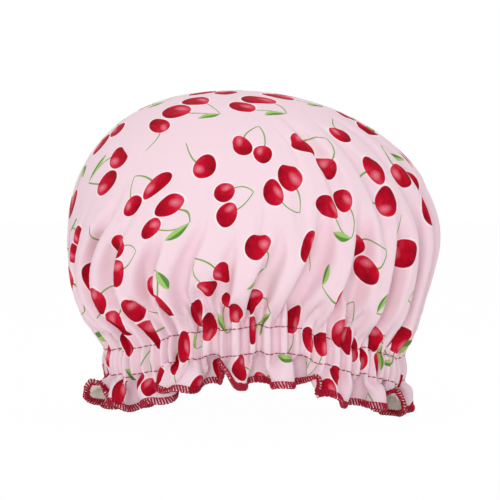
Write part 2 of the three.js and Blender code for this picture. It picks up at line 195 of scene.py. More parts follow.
def first_shape(rings, upper, lower, count):
    """The cloth laid on the filled cap, with its folds begun, and each ring's length on a plain cap."""
    cut_angle = np.arange(count) * TAU / count
    row_angle, row_wave, upper_row = stitched_row(count)
    ring = rings[:, None]
    shift = (row_angle - cut_angle + math.pi) % TAU - math.pi
    even_turn = np.linspace(-0.5, TAU + 0.5, 4000)
    crowded = even_turn + ripple(even_turn, CROWDING)
    fold_turn = np.interp(cut_angle, crowded, even_turn) * FOLDS
    fold_number = np.round(fold_turn / TAU) % FOLDS
    fold = (1 + FOLD_VARIETY * np.sin(VARIETY_STEP * fold_number)) * np.cos(fold_turn)
    folded = smooth_step(ring, FOLDS_BEGIN, FOLDS_FULL) * (1 - smooth_step(ring, FOLDS_FADE, CROWN_TO_BAND))
    pleated = smooth_step(ring, PLEATS_FROM, CROWN_TO_BAND)
    tilt = FOLD_TILT * np.cos(fold_number * TAU / FOLDS) * (1 + np.cos(fold_turn)) / 2 * TAU / FOLDS
    theta = cut_angle + shift * pleated + tilt * folded
    out = np.stack([np.cos(theta) / CROWN_HALF_WIDTH, np.sin(theta) / CROWN_HALF_DEPTH], -1)
    out /= np.linalg.norm(out, axis=-1, keepdims=True)
    cloth = np.zeros((len(rings), count, 3))
    for j in range(count):
        wide, deep, z, lean, run = crown_profile(theta[0, j])
        along = rings[: upper + 1] / CROWN_TO_BAND * run[-1]
        wide, deep, z, lean = (np.interp(along, run, v) for v in (wide, deep, z, lean))
        around = theta[: upper + 1, j]
        x, y = wide * np.cos(around) + lean, deep * np.sin(around)
        cloth[: upper + 1, j] = np.stack([x, y, z + widest_z], -1)
    plain = np.linalg.norm(np.roll(cloth, -1, 1) - cloth, axis=-1).sum(1)
    ruffle, ruffle_tilt = uneven_waves(RUFFLES, RUFFLE_SPREAD, RUFFLE_TILTS, CLOTH_SEED + 2)(cut_angle)
    flips = smooth_step(ripple(cut_angle, FLIP_WAVES), *FLIP_LEVELS)
    end_flare = np.where(np.cos(row_angle) < 0, LEFT_FLARE, RIGHT_FLARE) * np.cos(row_angle) ** 4
    sway = FRILL_SWAY * ripple(cut_angle, SWAY_WAVES)
    swell = FOLD_DEPTH * fold * folded + PLEAT_DEPTH * row_wave * pleated
    cloth[: upper + 1, :, :2] += (out * swell[..., None])[: upper + 1]
    lower_row = upper_row - [0, 0, CHANNEL_DEPTH]
    for i in range(upper + 1, len(rings)):
        if i <= lower:
            part = (rings[i] - rings[upper]) / CHANNEL_DEPTH
            cloth[i] = upper_row * (1 - part) + lower_row * part
            cloth[i, :, :2] += out[i] * CHANNEL_BULGE * math.sin(math.pi * part)
        else:
            part = (rings[i] - rings[lower]) / FRILL_DEPTH
            flare = PLEAT_DEPTH * row_wave * (1 - part) + RUFFLE_DEPTH * ruffle * part
            flare = flare + part * (FRILL_FLARE + FRONT_FLARE * np.abs(np.sin(row_angle)) ** 4 + end_flare)
            flare = flare + FLIP_REACH * part ** 1.5 * flips * np.clip(ruffle, 0, 1)
            fall = np.sqrt(np.maximum(part ** 2 - (flare / FRILL_DEPTH) ** 2, (LEAST_FALL * part) ** 2))
            z = band_z + arch(row_angle) - CHANNEL_DEPTH - FRILL_DEPTH * fall
            cloth[i] = band_point(row_angle + (ruffle_tilt + sway) * part, flare, z)
    cloth[upper], cloth[lower] = upper_row, lower_row
    flat_band = band_point(pleat_angle, 0, 0 * pleat_angle)
    plain[upper:] = np.linalg.norm(np.roll(flat_band, -1, 0) - flat_band, axis=1).sum()
    return cloth, plain


def outward(cloth):
    """The cloth's outward direction at each of its points."""
    across = np.cross(np.gradient(cloth, axis=0), np.roll(cloth, -1, 1) - np.roll(cloth, 1, 1))
    return across / (np.linalg.norm(across, axis=-1, keepdims=True) + 1e-12)


def in_order(values):
    """The values in each row made to rise from start to end, with as little change as serves."""
    return (np.maximum.accumulate(values, 1) + np.minimum.accumulate(values[:, ::-1], 1)[:, ::-1]) / 2


def settle(cloth, rings, upper, lower, plain, reaches, steps, rounds):
    """Lets the cloth come to rest: threads keep their length, bends resist, and the filled cap holds it."""
    count = cloth.shape[1]
    turns = np.arange(count)
    hoop = (np.interp(rings, FULLNESS_AT, FULLNESS) * plain / count)[:, None]
    column_turn = stitched_row(count)[0]
    ease = np.array([crown_profile(turn)[4][-1] for turn in column_turn]) * LENGTH_SLACK / CROWN_TO_BAND
    depth = np.where(rings[:, None] <= CROWN_TO_BAND, rings[:, None] * ease,
                     rings[upper] * ease + rings[:, None] - rings[upper])
    fall = np.diff(depth, axis=0)
    bias = np.hypot((hoop[:-1] + hoop[1:]) / 2, fall)
    free = np.ones((*cloth.shape[:2], 1))
    free[rings < STEADY_CROWN] = 0
    free[upper:lower + 1] = 0
    stiff = np.maximum(np.clip((CROWN_TO_BAND - rings - SLACK_ABOVE_BAND) / SLACK_FADE, 0, 1) ** SLACK_CURVE,
                       FRILL_STIFFNESS * np.clip((rings - rings[lower]) / FRILL_DEPTH, 0, 1))[:, None]
    firm = np.where(rings < rings[upper], 1, FRILL_FIRMNESS)[:, None]
    # Each tie: steps down, steps round, length, and the shares by which it pushes apart and pulls together.
    ties = [(0, 1, hoop, 0.8, 1.0), (1, 0, fall, 0.9, 1.0), (1, 1, bias, 0.08, 0.3), (1, -1, bias, 0.08, 0.3),
            (2, 0, depth[2:] - depth[:-2], 0.5 * firm, 0), (4, 0, depth[4:] - depth[:-4], 0.25 * firm, 0)]
    ties += [(0, reach, reach * hoop, push * (LEAST_STIFFNESS + (1 - LEAST_STIFFNESS) * stiff), 0)
             for reach, push in zip(reaches, BEND_PUSHES)]
    links = []
    for down, aside, length, push, pull in ties:
        length = np.broadcast_to(length, (len(length), count))
        push = np.broadcast_to(push, (len(rings), 1))
        for half in range(2):
            rows = np.arange(len(rings) - down)
            columns = turns
            if down:
                rows = rows[rows // down % 2 == half]
            else:
                columns = turns[turns // aside % 2 == half]
                if aside > 1 and count % (2 * aside):
                    columns = columns[columns + aside < count]
            a, b = np.ix_(rows, columns), np.ix_(rows + down, (columns + aside) % count)
            links.append((a, b, length[a][..., None], push[rows][:, :, None], pull, free[a], free[b]))

    least_run = np.arange(3 * count) * LEAST_TURN * TAU / count

    def hold_up(cloth):
        """Keeps the cloth on the filled cap, above the ground, and its folds from crossing each other."""
        part = cloth[:upper]
        z = part[..., 2] - widest_z
        high = np.clip(z / CROWN_RISE, 0, 1.1)
        lean = CROWN_LEAN * high ** 2
        theta = np.arctan2(part[..., 1] / CROWN_HALF_DEPTH, (part[..., 0] - lean) / CROWN_HALF_WIDTH)
        drop = BELLY_DROP - arch(theta)
        down = np.clip(-z / drop, 0, 1)
        wide, deep = filled_size(theta, down)
        reach = np.hypot((part[..., 0] - lean) / wide, part[..., 1] / deep)
        fill = (reach ** CROWN_SQUARENESS + high ** CROWN_SQUARENESS) ** (1 / CROWN_SQUARENESS)
        crown = smooth_step(high, CROWN_FROM, CROWN_FULL)
        inner = INNER_BELLY + (INNER_CROWN - INNER_BELLY) * crown
        outer = OUTER_BELLY + (OUTER_CROWN - OUTER_BELLY) * crown + (OUTER_BAND - OUTER_BELLY) * down ** 2
        scale = np.clip(fill, inner, outer) / np.maximum(fill, 1e-6)
        centre = np.stack([lean, 0 * z, np.where(z > 0, widest_z, part[..., 2])], -1)
        moved = centre + (part - centre) * scale[..., None]
        moved[..., 2] = np.maximum(moved[..., 2], widest_z - drop)
        moved[..., 2] = -in_order(-moved[..., 2].T).T
        around = np.arctan2(moved[..., 1], moved[..., 0] - lean)
        around = column_turn + (around - column_turn + math.pi) % TAU - math.pi
        longer = np.concatenate([around - TAU, around, around + TAU], 1) - least_run
        back = (in_order(longer) + least_run)[:, count:2 * count] - around
        x, y = moved[..., 0] - lean, moved[..., 1].copy()
        moved[..., 0], moved[..., 1] = x - y * back + lean, y + x * back
        cloth[:upper] = np.where(free[:upper] > 0, moved, part)
        cloth[..., 2] = np.maximum(cloth[..., 2], GROUND)

    row_number = np.arange(len(rings))[:, None, None]
    puff = np.where(row_number < upper, CROWN_PUFF, 0)
    weight = np.where(row_number > lower, FRILL_WEIGHT, CLOTH_WEIGHT) * np.array([0, 0, -1])
    for step in range(steps):
        cloth = cloth + (outward(cloth) * puff + weight) * free * (1 - step / steps)
        for _ in range(rounds):
            for a, b, length, push, pull, free_a, free_b in links:
                start, end = cloth[a], cloth[b]
                along = end - start
                size = np.sqrt((along * along).sum(-1, keepdims=True)) + 1e-12
                spare = size - length
                share = np.where(spare > 0, spare * pull, spare * push)
                along *= share / size / np.maximum(free_a + free_b, 1e-9)
                cloth[a], cloth[b] = start + along * free_a, end - along * free_b
            hold_up(cloth)
    return cloth


def doubled(cloth):
    """The same cloth with a point between every two, on a smooth curve."""
    between = (9 * (cloth + np.roll(cloth, -1, 1)) - np.roll(cloth, 1, 1) - np.roll(cloth, -2, 1)) / 16
    cloth = np.stack([cloth, between], 2).reshape(len(cloth), -1, 3)
    longer = np.concatenate([2 * cloth[:1] - cloth[1:2], cloth, 2 * cloth[-1:] - cloth[-2:-1]])
    finer = np.zeros((2 * len(cloth) - 1, *cloth.shape[1:]))
    finer[::2] = cloth
    finer[1::2] = (9 * (longer[1:-2] + longer[2:-1]) - longer[:-3] - longer[3:]) / 16
    return finer


def creased(cloth, rings):
    """The same cloth with its folds drawn a little sharper, as ironed cotton keeps them."""
    reach = np.linalg.norm(cloth[..., :2], axis=-1)
    steps = range(-CREASE_SPAN, CREASE_SPAN + 1)
    even = sum(np.roll(reach, step, 1) for step in steps) / len(steps)
    begun = smooth_step(rings, CREASES_FROM, CREASES_FULL)
    ended = smooth_step(rings, CROWN_TO_BAND - CREASES_END, CROWN_TO_BAND)
    sharper = CREASE * begun * (1 - ended)
    scale = 1 + sharper[:, None] * (reach - even) / reach
    return np.concatenate([cloth[..., :2] * scale[..., None], cloth[..., 2:]], -1)


def turned_up(cloth, rings, lower):
    """The same cloth with a few ruffles of its frill turned outwards, so that the lining shows there."""
    steps = np.diff(cloth[lower:], axis=0)
    theta = np.arctan2(cloth[lower, :, 1], cloth[lower, :, 0])
    turn = np.zeros(len(theta))
    for place, half_width, most in FLIPS:
        away = np.abs((theta - place + math.pi) % TAU - math.pi) / half_width
        turn += most * np.cos(np.clip(away, 0, 1) * math.pi / 2) ** 2
    share = smooth_step((rings[lower:-1] - rings[lower]) / FRILL_DEPTH, FLIP_START, FLIP_END)
    angle = (share[:, None] * turn)[..., None]
    axis = np.stack([np.sin(theta), -np.cos(theta), 0 * theta], -1)[None]
    along = (steps * axis).sum(-1, keepdims=True)
    sideways = np.cross(axis, steps)
    steps = steps * np.cos(angle) + sideways * np.sin(angle) + axis * along * (1 - np.cos(angle))
    return np.concatenate([cloth[:lower + 1], cloth[lower] + np.cumsum(steps, axis=0)])


RING_COUNTS, PLEAT_POINTS = (48, 6, 10), 10
rings, upper, lower = cut_rings(*RING_COUNTS)
points_round = PLEATS * PLEAT_POINTS
coarse, coarse_upper, coarse_lower = cut_rings(*(count // 2 for count in RING_COUNTS))
cover_grid, plain_rings = first_shape(coarse, coarse_upper, coarse_lower, points_round // 2)
cover_grid = settle(cover_grid, coarse, coarse_upper, coarse_lower, plain_rings,
                    reaches=(2, 3, 4, 6), steps=150, rounds=6)
cover_grid = doubled(cover_grid)
cover_grid[upper:lower + 1] = first_shape(rings, upper, lower, points_round)[0][upper:lower + 1]
plain_rings = np.interp(rings, coarse, plain_rings)
cover_grid = settle(cover_grid, rings, upper, lower, plain_rings,
                    reaches=(2, 4, 8, 12), steps=60, rounds=5)
cover_grid[:upper] = creased(cover_grid[:upper], rings[:upper])
cover_grid = turned_up(cover_grid, rings, lower)


def new_piece(name, points, faces, edges=()):
    """A mesh object in the scene, at the origin, with smooth faces."""
    mesh = bpy.data.meshes.new(name)
    mesh.from_pydata([tuple(p) for p in points], list(edges), faces)
    mesh.shade_smooth()
    piece = bpy.data.objects.new(name, mesh)
    bpy.context.scene.collection.objects.link(piece)
    return piece


def lay_flat(piece, name, flat):
    """Gives the piece a UV map from the flat place of each of its points."""
    corner = np.zeros(len(piece.data.loops), dtype=int)
    piece.data.loops.foreach_get("vertex_index", corner)
    piece.data.uv_layers.new(name=name).data.foreach_set("uv", np.array(flat)[corner].ravel())


def grid_faces(rows, count):
    """Four-sided faces between rings of points, facing outwards."""
    sides = [(j, (j + 1) % count) for j in range(count)]
    return [(i * count + j, (i + 1) * count + j, (i + 1) * count + k, i * count + k)
            for i in range(rows - 1) for j, k in sides]


def gathered_sheet(name, grid, thickness):
    """A round sheet from its rings of points, closed at the pole, with the cut circle as its UV map."""
    count = grid.shape[1]
    pole = np.append(grid[0].mean(0)[:2], grid[0, :, 2].mean() + POLE_RISE)
    cut_angle = np.arange(count) * TAU / count
    points, flat, faces = [*grid.reshape(-1, 3)], [], grid_faces(len(grid), count)
    for ring in rings:
        flat += [*np.stack([ring * np.cos(cut_angle), ring * np.sin(cut_angle)], -1)]
    outer_ring, outer_count = list(range(count)), count
    for share in POLE_RINGS:
        inner_count = outer_count // 3
        inner_ring = list(range(len(points), len(points) + inner_count))
        for j in range(inner_count):
            edge = grid[0, j * (count // inner_count)]
            place = pole + (edge - pole) * share
            place[2] = pole[2] + (edge[2] - pole[2]) * share ** 2
            points.append(place)
            turn = j * TAU / inner_count
            flat.append((share * POLE_HOLE * math.cos(turn), share * POLE_HOLE * math.sin(turn)))
        for j in range(inner_count):
            a, b, c, d = (outer_ring[(3 * j + step) % outer_count] for step in range(4))
            here, after = inner_ring[j], inner_ring[(j + 1) % inner_count]
            faces += [(here, a, b), (here, b, c, after), (after, c, d)]
        outer_ring, outer_count = inner_ring, inner_count
    points.append(pole)
    flat.append((0, 0))
    for j in range(outer_count):
        faces.append((len(points) - 1, outer_ring[j], outer_ring[(j + 1) % outer_count]))
    sheet = new_piece(name, points, faces)
    lay_flat(sheet, "flat_cut", flat)
    wall = sheet.modifiers.new("thickness", "SOLIDIFY")
    wall.thickness = thickness
    wall.offset = -1
    return sheet


cover = gathered_sheet("printed_cover", cover_grid, CLOTH_THICKNESS)


def colour(code):
    """A linear colour from its sRGB hex value."""
    parts = [int(code[i:i + 2], 16) / 255 for i in (1, 3, 5)]
    return (*(p / 12.92 if p <= 0.04045 else ((p + 0.055) / 1.055) ** 2.4 for p in parts), 1)


def add_node(tree, kind, inputs=None, **settings):
    """Adds one node with its settings; each input is a value or another node's output."""
    node = tree.nodes.new(kind)
    for name, value in settings.items():
        setattr(node, name, value)
    for socket, value in (inputs or {}).items():
        if isinstance(value, bpy.types.NodeSocket):
            tree.links.new(value, node.inputs[socket])
        else:
            node.inputs[socket].default_value = value
    return node


# Cherry print, in millimetres on the flat cloth: pairs and single fruit on thin stems, some with a leaf,
# each turned at random in its own place, in rows that stand half a step apart.
SPRIG_STEP = 46.0
SPRIG_WANDER = 6.0
LEFT_FRUIT, RIGHT_FRUIT, STEM_FORK = (-9.3, -8.0, 0), (9.6, -9.4, 0), (1.0, 16.5, 0)
FRUIT_RADIUS = 9.2
HALO_WIDTH = 1.3
GLEAM_PLACE, GLEAM_SHAPE, GLEAM_REACH, GLEAM_FADE = (-3.4, 1.7, 0), (1.0, 0.62, 0), 3.4, 0.22
SHADE_SLOPE, SHADE_LEVEL, LIGHT_LEVEL = (0.045, -0.05, 0), 0.62, 0.97
BLOTCHES_PER_MM, BLOTCH_SHADE, BLOTCH_LIGHT = 0.17, 1.6, 1.8
STEM_HALF_WIDTH, STEM_FOOT = 0.75, 0.75 * FRUIT_RADIUS
LEAF_LENGTH, LEAF_HALF_WIDTH, LEAF_TURN, LEAF_RIB = 17.0, 3.4, 0.55, 0.2
LONE_SHARE, LEAFY_SHARE = 0.25, 0.55
INK_EDGE, STEM_EDGE = 2.5, 3.0
OUT_OF_SIGHT = 100.0
FRUIT_RED, FRUIT_DARK, FRUIT_LIGHT, FRUIT_GLEAM = "#C40A29", "#85041A", "#E23D5A", "#F08FA2"
STEM_GREEN, LEAF_GREEN, LEAF_DARK = "#7FA84F", "#A5C873", "#5F9140"

sprigs = bpy.data.node_groups.new("cherry_sprigs", "ShaderNodeTree")
sprigs.interface.new_socket("Place", in_out="INPUT", socket_type="NodeSocketVector")
for name, kind in (("Ink", "NodeSocketColor"), ("Cover", "NodeSocketFloat"), ("Halo", "NodeSocketFloat")):
    sprigs.interface.new_socket(name, in_out="OUTPUT", socket_type=kind)
got = {"place": add_node(sprigs, "NodeGroupInput").outputs["Place"]}


def work_out(tree, got, steps):
    """Adds the sums and colour mixes of a pattern in order: each row has a name, an operation and inputs."""
    for name, operation, *values in steps:
        values = [got[value] if isinstance(value, str) else value for value in values]
        if operation == "MIX":
            mix = add_node(tree, "ShaderNodeMix", dict(zip((0, 6, 7), values)), data_type="RGBA")
            got[name] = mix.outputs[2]
            continue
        kind = "ShaderNodeMath"
        if operation.startswith("V "):
            kind, operation = "ShaderNodeVectorMath", operation[2:]
        node = add_node(tree, kind, dict(enumerate(values)), operation=operation)
        got[name] = node.outputs[1 if operation in ("DISTANCE", "LENGTH", "DOT_PRODUCT") else 0]


work_out(sprigs, got, [
    ("grid", "V DIVIDE", "place", (SPRIG_STEP, SPRIG_STEP, 1)),
    ("grid_floor", "V FLOOR", "grid"),
    ("row_number", "V DOT_PRODUCT", "grid_floor", (0, 1, 0)),
    ("odd_row", "MODULO", "row_number", 2.0),
    ("row_shift", "MULTIPLY", "odd_row", 0.5),
])
got["row_shift_x"] = add_node(sprigs, "ShaderNodeCombineXYZ", {0: got["row_shift"]}).outputs[0]
work_out(sprigs, got, [
    ("lattice", "V ADD", "grid", "row_shift_x"),
    ("cell", "V FLOOR", "lattice"),
    ("corner", "V FRACTION", "lattice"),
])
chance = add_node(sprigs, "ShaderNodeTexWhiteNoise", {"Vector": got["cell"]}, noise_dimensions="3D")
second = add_node(sprigs, "ShaderNodeTexWhiteNoise", {"Vector": got["cell"], "W": 3.7}, noise_dimensions="4D")
second_parts = add_node(sprigs, "ShaderNodeSeparateXYZ", {0: second.outputs["Color"]})
got.update(turn_chance=chance.outputs["Value"], wander_chance=chance.outputs["Color"],
           lone_chance=second_parts.outputs[0], leaf_chance=second_parts.outputs[1])
work_out(sprigs, got, [
    ("middle", "V SUBTRACT", "corner", (0.5, 0.5, 0)),
    ("local", "V MULTIPLY", "middle", (SPRIG_STEP, SPRIG_STEP, 0)),
    ("wander", "V SUBTRACT", "wander_chance", (0.5, 0.5, 0.5)),
    ("wander_mm", "V MULTIPLY", "wander", (SPRIG_WANDER, SPRIG_WANDER, 0)),
    ("moved", "V SUBTRACT", "local", "wander_mm"),
    ("turn", "MULTIPLY", "turn_chance", TAU),
])
turned = add_node(sprigs, "ShaderNodeVectorRotate", {"Vector": got["moved"], "Angle": got["turn"]},
                  rotation_type="Z_AXIS")
got["at"] = turned.outputs[0]
work_out(sprigs, got, [
    ("lone", "LESS_THAN", "lone_chance", LONE_SHARE),
    ("left", "V DISTANCE", "at", LEFT_FRUIT),
    ("right_plain", "V DISTANCE", "at", RIGHT_FRUIT),
    ("right", "MULTIPLY_ADD", "lone", OUT_OF_SIGHT, "right_plain"),
    ("nearer", "LESS_THAN", "right", "left"),
    ("distance", "MINIMUM", "left", "right"),
    ("inside", "SUBTRACT", FRUIT_RADIUS, "distance"),
    ("inside_sharp", "MULTIPLY", "inside", INK_EDGE),
    ("fruit_mix", "ADD", "inside_sharp", 1.0),
    ("halo_part", "DIVIDE", "inside", HALO_WIDTH),
    ("halo", "ADD", "halo_part", 1.0),
])
fruit_centre = add_node(sprigs, "ShaderNodeMix", {"Factor": got["nearer"], 4: LEFT_FRUIT, 5: RIGHT_FRUIT},
                        data_type="VECTOR")
got["fruit_centre"] = fruit_centre.outputs[1]
leaf_place = add_node(sprigs, "ShaderNodeVectorRotate",
                      {"Vector": got["at"], "Center": STEM_FORK, "Angle": LEAF_TURN}, rotation_type="Z_AXIS")
got["leaf_at"] = leaf_place.outputs[0]
work_out(sprigs, got, [
    ("from_fruit", "V SUBTRACT", "at", "fruit_centre"),
    ("shade_line", "V DOT_PRODUCT", "from_fruit", SHADE_SLOPE),
    ("squashed", "V MULTIPLY", "from_fruit", GLEAM_SHAPE),
    ("gleam_distance", "V DISTANCE", "squashed", GLEAM_PLACE),
    ("gleam_edge", "SUBTRACT", GLEAM_REACH, "gleam_distance"),
    ("gleam_inside", "MULTIPLY", "gleam_edge", GLEAM_FADE),
    ("from_fork", "V SUBTRACT", "leaf_at", STEM_FORK),
])
at_parts = add_node(sprigs, "ShaderNodeSeparateXYZ", {0: got["at"]})
leaf_parts = add_node(sprigs, "ShaderNodeSeparateXYZ", {0: got["from_fork"]})
got.update(x=at_parts.outputs[0], y=at_parts.outputs[1],
           leaf_u=leaf_parts.outputs[0], leaf_v=leaf_parts.outputs[1])
for side, fruit in (("left", LEFT_FRUIT), ("right", RIGHT_FRUIT)):
    stem_foot = fruit[1] + STEM_FOOT
    work_out(sprigs, got, [
        (side + "_rise", "SUBTRACT", "y", stem_foot),
        (side + "_part", "DIVIDE", side + "_rise", STEM_FORK[1] - stem_foot),
        (side + "_bend", "MULTIPLY", side + "_part", side + "_part"),
        (side + "_line", "MULTIPLY_ADD", side + "_bend", STEM_FORK[0] - fruit[0], fruit[0]),
        (side + "_off", "SUBTRACT", "x", side + "_line"),
        (side + "_away", "ABSOLUTE", side + "_off"),
        (side + "_in", "SUBTRACT", STEM_HALF_WIDTH, side + "_away"),
        (side + "_sharp", "MULTIPLY", side + "_in", STEM_EDGE),
        (side + "_half", "SUBTRACT", side + "_part", 0.5),
        (side + "_end", "ABSOLUTE", side + "_half"),
        (side + "_on", "LESS_THAN", side + "_end", 0.5),
        (side + "_stem", "MULTIPLY", side + "_sharp", side + "_on"),
    ])
work_out(sprigs, got, [
    ("pair", "SUBTRACT", 1.0, "lone"),
    ("right_stem_shown", "MULTIPLY", "right_stem", "pair"),
    ("stems", "MAXIMUM", "left_stem", "right_stem_shown"),
    ("leaf_along", "DIVIDE", "leaf_u", LEAF_LENGTH),
    ("leaf_left", "SUBTRACT", 1.0, "leaf_along"),
    ("leaf_swell", "MULTIPLY", "leaf_along", "leaf_left"),
    ("leaf_off", "ABSOLUTE", "leaf_v"),
    ("leaf_edge", "MULTIPLY", "leaf_swell", 4 * LEAF_HALF_WIDTH),
    ("leaf_in", "SUBTRACT", "leaf_edge", "leaf_off"),
    ("leaf_sharp", "MULTIPLY", "leaf_in", INK_EDGE),
    ("leafy", "LESS_THAN", "leaf_chance", LEAFY_SHARE),
    ("leaf", "MULTIPLY", "leaf_sharp", "leafy"),
    ("green_cover", "MAXIMUM", "stems", "leaf"),
    ("leaf_side", "GREATER_THAN", "leaf_v", LEAF_RIB),
    ("any_cover", "MAXIMUM", "green_cover", "inside_sharp"),
])
blotch = add_node(sprigs, "ShaderNodeTexNoise",
                  {"Vector": got["place"], "Scale": BLOTCHES_PER_MM, "Detail": 2.0})
got["blotch"] = blotch.outputs["Fac"]
work_out(sprigs, got, [
    ("shade", "MULTIPLY_ADD", "blotch", BLOTCH_SHADE, "shade_line"),
    ("shade_low", "SUBTRACT", "shade", SHADE_LEVEL),
    ("light_line", "MULTIPLY_ADD", "blotch", BLOTCH_LIGHT, -LIGHT_LEVEL),
    ("light_low", "SUBTRACT", "light_line", "shade_line"),
])
for name in ("fruit_mix", "halo", "gleam_inside", "leaf", "any_cover", "shade_low", "light_low"):
    got[name] = add_node(sprigs, "ShaderNodeClamp", {"Value": got[name]}).outputs[0]
work_out(sprigs, got, [
    ("shaded", "MIX", "shade_low", colour(FRUIT_RED), colour(FRUIT_DARK)),
    ("lit", "MIX", "light_low", "shaded", colour(FRUIT_LIGHT)),
    ("fruit", "MIX", "gleam_inside", "lit", colour(FRUIT_GLEAM)),
    ("whole_leaf", "MIX", "leaf_side", colour(LEAF_GREEN), colour(LEAF_DARK)),
    ("green", "MIX", "leaf", colour(STEM_GREEN), "whole_leaf"),
    ("ink", "MIX", "fruit_mix", "green", "fruit"),
])
add_node(sprigs, "NodeGroupOutput", {"Ink": got["ink"], "Cover": got["any_cover"], "Halo": got["halo"]})

# Cotton poplin, plain woven and printed: matt, with a faint fuzz at grazing light. Its threads are 0.35 mm
# apart, too fine to show here, so the weave is drawn at 1.1 mm, and a faint crumple is laid over it.
# The cloth was pulled a little out of shape before it was printed, so the rows of sprigs waver.
COTTON_PINK, HALO_PALE = "#F4D9E3", "#FCF1F5"
WEAVE_STEP, WEAVE_HEIGHT = 1.1, 0.00003
CRUMPLES_PER_MM, CRUMPLE_HEIGHT = 0.055, 0.0010
WAVERS_PER_MM, WAVER_REACH = 0.014, 34.0


def new_material(name, looks):
    """A new material, its tree and its Principled shader with these of its values set."""
    material = bpy.data.materials.new(name)
    material.use_nodes = True
    shader = material.node_tree.nodes["Principled BSDF"]
    for socket, value in looks.items():
        shader.inputs[socket].default_value = value
    return material, material.node_tree, shader


def flat_place(tree, name):
    """The start of a pattern: the place on the flat piece in millimetres, from its UV map."""
    got = {"flat": add_node(tree, "ShaderNodeUVMap", uv_map=name).outputs[0]}
    work_out(tree, got, [("mm", "V MULTIPLY", "flat", (1000, 1000, 0))])
    return got


def show(tree, shader, shade, height, strength):
    """The end of a pattern: gives the shader its colour and its fine relief."""
    bump = add_node(tree, "ShaderNodeBump", {"Height": height, "Strength": strength, "Distance": 1.0})
    tree.links.new(shade, shader.inputs["Base Color"])
    tree.links.new(bump.outputs[0], shader.inputs["Normal"])


cotton, tree, shader = new_material("printed_cotton_poplin", {
    "Roughness": 0.82, "Specular IOR Level": 0.06, "Sheen Weight": 0.05, "Sheen Roughness": 0.4})
cloth = flat_place(tree, "flat_cut")
waver = add_node(tree, "ShaderNodeTexNoise", {"Vector": cloth["mm"], "Scale": WAVERS_PER_MM, "Detail": 1.0})
cloth["waver"] = waver.outputs["Color"]
work_out(tree, cloth, [
    ("waver_even", "V SUBTRACT", "waver", (0.5, 0.5, 0.5)),
    ("waver_mm", "V MULTIPLY", "waver_even", (WAVER_REACH, WAVER_REACH, 0)),
    ("print_place", "V ADD", "mm", "waver_mm"),
    ("weave_turn", "V MULTIPLY", "mm", (TAU / WEAVE_STEP, TAU / WEAVE_STEP, 0)),
    ("weave_wave", "V SINE", "weave_turn"),
])
print_layer = add_node(tree, "ShaderNodeGroup", node_tree=sprigs)
tree.links.new(cloth["print_place"], print_layer.inputs["Place"])
weave_parts = add_node(tree, "ShaderNodeSeparateXYZ", {0: cloth["weave_wave"]})
crumple = add_node(tree, "ShaderNodeTexNoise",
                   {"Vector": cloth["mm"], "Scale": CRUMPLES_PER_MM, "Detail": 4.0})
cloth.update(warp=weave_parts.outputs[0], weft=weave_parts.outputs[1], crumple=crumple.outputs["Fac"],
             halo=print_layer.outputs["Halo"], inked=print_layer.outputs["Cover"],
             ink=print_layer.outputs["Ink"])
work_out(tree, cloth, [
    ("ground", "MIX", "halo", colour(COTTON_PINK), colour(HALO_PALE)),
    ("printed", "MIX", "inked", "ground", "ink"),
    ("weave", "MULTIPLY", "warp", "weft"),
    ("weave_height", "MULTIPLY", "weave", WEAVE_HEIGHT),
    ("height", "MULTIPLY_ADD", "crumple", CRUMPLE_HEIGHT, "weave_height"),
])
show(tree, shader, cloth["printed"], cloth["height"], strength=0.5)
cover.data.materials.append(cotton)
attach(cover, "root")
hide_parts("outer_cover")

# Gathering elastic. A flat braided band, white, lies loose in the channel between cover and lining
# and draws them in; its ends lap at the nape, where they are sewn to each other.
ELASTIC_WIDTH = 0.012
ELASTIC_THICKNESS = 0.0010
ELASTIC_INSET = 0.0080
ELASTIC_LENGTH = 0.62
ELASTIC_LAP, LAP_STEP = 0.26, 0.0012
ELASTIC_POINTS = 420
ELASTIC_SECTION = [(-0.5, 0.3), (-0.46, 0.5), (0.46, 0.5), (0.5, 0.3),
                   (0.5, -0.3), (0.46, -0.5), (-0.46, -0.5), (-0.5, -0.3)]
elastic_turn = np.linspace(-ELASTIC_LAP / 2, TAU + ELASTIC_LAP / 2, ELASTIC_POINTS)
elastic_run = np.linspace(0, ELASTIC_LENGTH, ELASTIC_POINTS)
lap_inset = LAP_STEP * smooth_step(elastic_turn, TAU - 1.5 * ELASTIC_LAP, TAU - 0.6 * ELASTIC_LAP)
elastic_theta = elastic_turn + math.pi / 2
elastic_z = band_z + arch(elastic_theta) - CHANNEL_DEPTH / 2
elastic_points = [band_point(elastic_theta, out * ELASTIC_THICKNESS - ELASTIC_INSET - lap_inset,
                             elastic_z + up * ELASTIC_WIDTH) for up, out in ELASTIC_SECTION]
elastic_points = np.stack(elastic_points, 1).reshape(-1, 3)
sides = len(ELASTIC_SECTION)
elastic_faces = [face[::-1] for face in grid_faces(ELASTIC_POINTS, sides)]
elastic_faces.append(tuple(range(sides - 1, -1, -1)))
elastic_faces.append(tuple(range(len(elastic_points) - sides, len(elastic_points))))
elastic = new_piece("gathering_elastic", elastic_points, elastic_faces)
lay_flat(elastic, "along_band",
         [(run, up * ELASTIC_WIDTH) for run in elastic_run for up, out in ELASTIC_SECTION])

